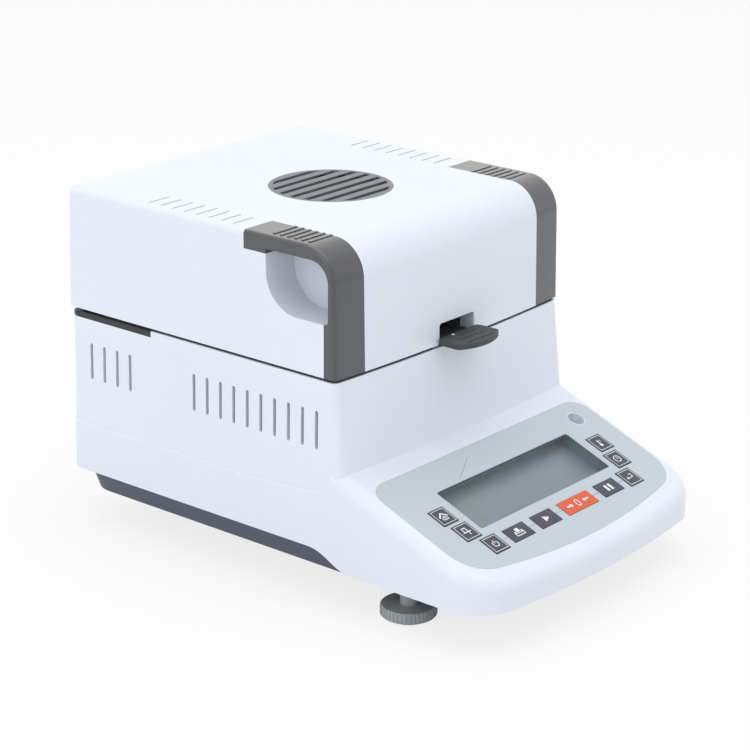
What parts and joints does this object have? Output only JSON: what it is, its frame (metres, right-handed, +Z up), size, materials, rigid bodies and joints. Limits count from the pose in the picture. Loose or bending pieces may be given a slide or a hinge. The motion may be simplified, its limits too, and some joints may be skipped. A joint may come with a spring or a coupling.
{
  "type": "moisture analyzer",
  "caption": "Bench-top halogen moisture analyzer with a hinged white lid, dark grips, a sloped key panel with a display, and levelling feet.",
  "frame": {"origin": "on the table, under the middle of the instrument", "axes": "+X to the user's right, +Y from the key panel to the rear, +Z up"},
  "size_m": [0.205, 0.316, 0.2031],
  "materials": {
    "white_plastic": "satin white moulded plastic",
    "grey_plastic": "satin dark grey moulded plastic",
    "tray_plastic": "fine-textured bluish dark grey plastic",
    "grille_plastic": "mid grey satin plastic",
    "film": "satin light grey film",
    "display": "grey display glass",
    "key_dark": "satin dark slate",
    "key_orange": "satin orange",
    "foot_grey": "light grey moulded plastic",
    "rubber": "matt black",
    "steel": "brushed",
    "aluminium": "satin",
    "brass": "turned",
    "glass": "clear",
    "level_lens": "milky lens",
    "ceramic": "off-white ceramic",
    "board": "green circuit board",
    "metal_case": "zinc grey",
    "black_plastic": "black moulded plastic"
  },
  "bodies": {
    "instrument": {"base_housing": "white_plastic", "chamber_housing": "white_plastic", "bottom_tray": "tray_plastic", "hinge_plate": "grey_plastic", "hinge_brackets": "steel", "hinge_pins": "steel", "chamber_liner": "steel", "wind_ring": "steel", "pan_support": "steel", "load_cell": "aluminium", "load_cell_mount": "aluminium", "main_board": "board", "power_supply": "metal_case", "key_board": "board", "lcd_module": "display", "lcd_window": "glass", "panel_film": "film", "level_cup": "foot_grey", "level_vial": "level_lens", "mains_inlet": "black_plastic", "switch_frame": "black_plastic", "serial_port": "metal_case", "foot_bushes": "brass", "rear_feet": "rubber", "lid_bumpers": "rubber", "housing_screws": "steel", "chamber_deck": "white_plastic", "lid_seal": "rubber"},
    "lid": {"lid_shell": "white_plastic", "vent_grille": "grille_plastic", "left_handle": "grey_plastic", "right_handle": "grey_plastic", "inner_plate": "steel", "reflector": "steel", "halogen_lamp": "glass", "lamp_holders": "ceramic", "protective_glass": "glass", "glass_retainer": "steel", "temperature_probe": "steel", "lid_hinge_arms": "steel", "lid_screws": "steel"},
    "handler": {"pan_handler": "grey_plastic"},
    "pan": {"sample_pan": "aluminium"},
    "rocker": {"switch_rocker": "black_plastic"},
    "left_pad": {"left_foot_pad": "rubber"},
    "right_pad": {"right_foot_pad": "rubber"},
    "key_home_cap": {"key_home": "key_dark"},
    "key_menu_cap": {"key_menu": "key_dark"},
    "key_power_cap": {"key_power": "key_dark"},
    "key_print_cap": {"key_print": "key_dark"},
    "key_start_cap": {"key_start": "key_dark"},
    "key_tare_cap": {"key_tare": "key_orange"},
    "key_stop_cap": {"key_stop": "key_dark"},
    "key_enter_cap": {"key_enter": "key_dark"},
    "key_clock_cap": {"key_clock": "key_dark"},
    "key_temperature_cap": {"key_temperature": "key_dark"},
    "left_wheel": {"left_foot_wheel": "foot_grey", "left_foot_stud": "foot_grey"},
    "right_wheel": {"right_foot_wheel": "foot_grey", "right_foot_stud": "foot_grey"}
  },
  "joints": [
    {"name": "lid_hinge", "type": "hinge", "parent": "instrument", "child": "lid", "pos_m": [0, 0.153, 0.1338], "axis": [-1, 0, 0], "range_deg": [0, 75]},
    {"name": "handler_lift", "type": "slide", "parent": "instrument", "child": "handler", "axis": [0, 0, 1], "range_m": [0, 0.007]},
    {"name": "pan_lift", "type": "slide", "parent": "handler", "child": "pan", "axis": [0, 0, 1], "range_m": [0, 0.012]},
    {"name": "rocker_switch", "type": "hinge", "parent": "instrument", "child": "rocker", "pos_m": [0.018, 0.1515, 0.0476], "axis": [1, 0, 0], "range_deg": [0, 16]},
    {"name": "press_home", "type": "slide", "parent": "instrument", "child": "key_home_cap", "axis": [0, 0.3665, -0.9304], "range_m": [0, 0.0004], "stiffness_N_per_m": 500, "springref_m": -0.0005},
    {"name": "press_menu", "type": "slide", "parent": "instrument", "child": "key_menu_cap", "axis": [0, 0.3665, -0.9304], "range_m": [0, 0.0004], "stiffness_N_per_m": 500, "springref_m": -0.0005},
    {"name": "press_power", "type": "slide", "parent": "instrument", "child": "key_power_cap", "axis": [0, 0.3665, -0.9304], "range_m": [0, 0.0004], "stiffness_N_per_m": 500, "springref_m": -0.0005},
    {"name": "press_print", "type": "slide", "parent": "instrument", "child": "key_print_cap", "axis": [0, 0.3665, -0.9304], "range_m": [0, 0.0004], "stiffness_N_per_m": 500, "springref_m": -0.0005},
    {"name": "press_start", "type": "slide", "parent": "instrument", "child": "key_start_cap", "axis": [0, 0.3665, -0.9304], "range_m": [0, 0.0004], "stiffness_N_per_m": 500, "springref_m": -0.0005},
    {"name": "press_tare", "type": "slide", "parent": "instrument", "child": "key_tare_cap", "axis": [0, 0.3665, -0.9304], "range_m": [0, 0.0004], "stiffness_N_per_m": 500, "springref_m": -0.0005},
    {"name": "press_stop", "type": "slide", "parent": "instrument", "child": "key_stop_cap", "axis": [0, 0.3665, -0.9304], "range_m": [0, 0.0004], "stiffness_N_per_m": 500, "springref_m": -0.0005},
    {"name": "press_enter", "type": "slide", "parent": "instrument", "child": "key_enter_cap", "axis": [0, 0.3665, -0.9304], "range_m": [0, 0.0004], "stiffness_N_per_m": 500, "springref_m": -0.0005},
    {"name": "press_clock", "type": "slide", "parent": "instrument", "child": "key_clock_cap", "axis": [0, 0.3665, -0.9304], "range_m": [0, 0.0004], "stiffness_N_per_m": 500, "springref_m": -0.0005},
    {"name": "press_temperature", "type": "slide", "parent": "instrument", "child": "key_temperature_cap", "axis": [0, 0.3665, -0.9304], "range_m": [0, 0.0004], "stiffness_N_per_m": 500, "springref_m": -0.0005},
    {"name": "left_foot_lift", "type": "slide", "parent": "instrument", "child": "left_pad", "axis": [0, 0, -1], "range_m": [0, 0.006]},
    {"name": "left_foot_turn", "type": "hinge", "parent": "left_pad", "child": "left_wheel", "pos_m": [-0.0815, -0.084, 0.0045], "axis": [0, 0, 1], "range_deg": [0, 1700]},
    {"name": "right_foot_lift", "type": "slide", "parent": "instrument", "child": "right_pad", "axis": [0, 0, -1], "range_m": [0, 0.006]},
    {"name": "right_foot_turn", "type": "hinge", "parent": "right_pad", "child": "right_wheel", "pos_m": [0.0815, -0.084, 0.0045], "axis": [0, 0, 1], "range_deg": [0, 1700]}
  ],
  "couplings": [
    {"joint": "left_foot_lift", "follows": "left_foot_turn", "m_per_rad": 0.00019894},
    {"joint": "right_foot_lift", "follows": "right_foot_turn", "m_per_rad": 0.00019894}
  ]
}
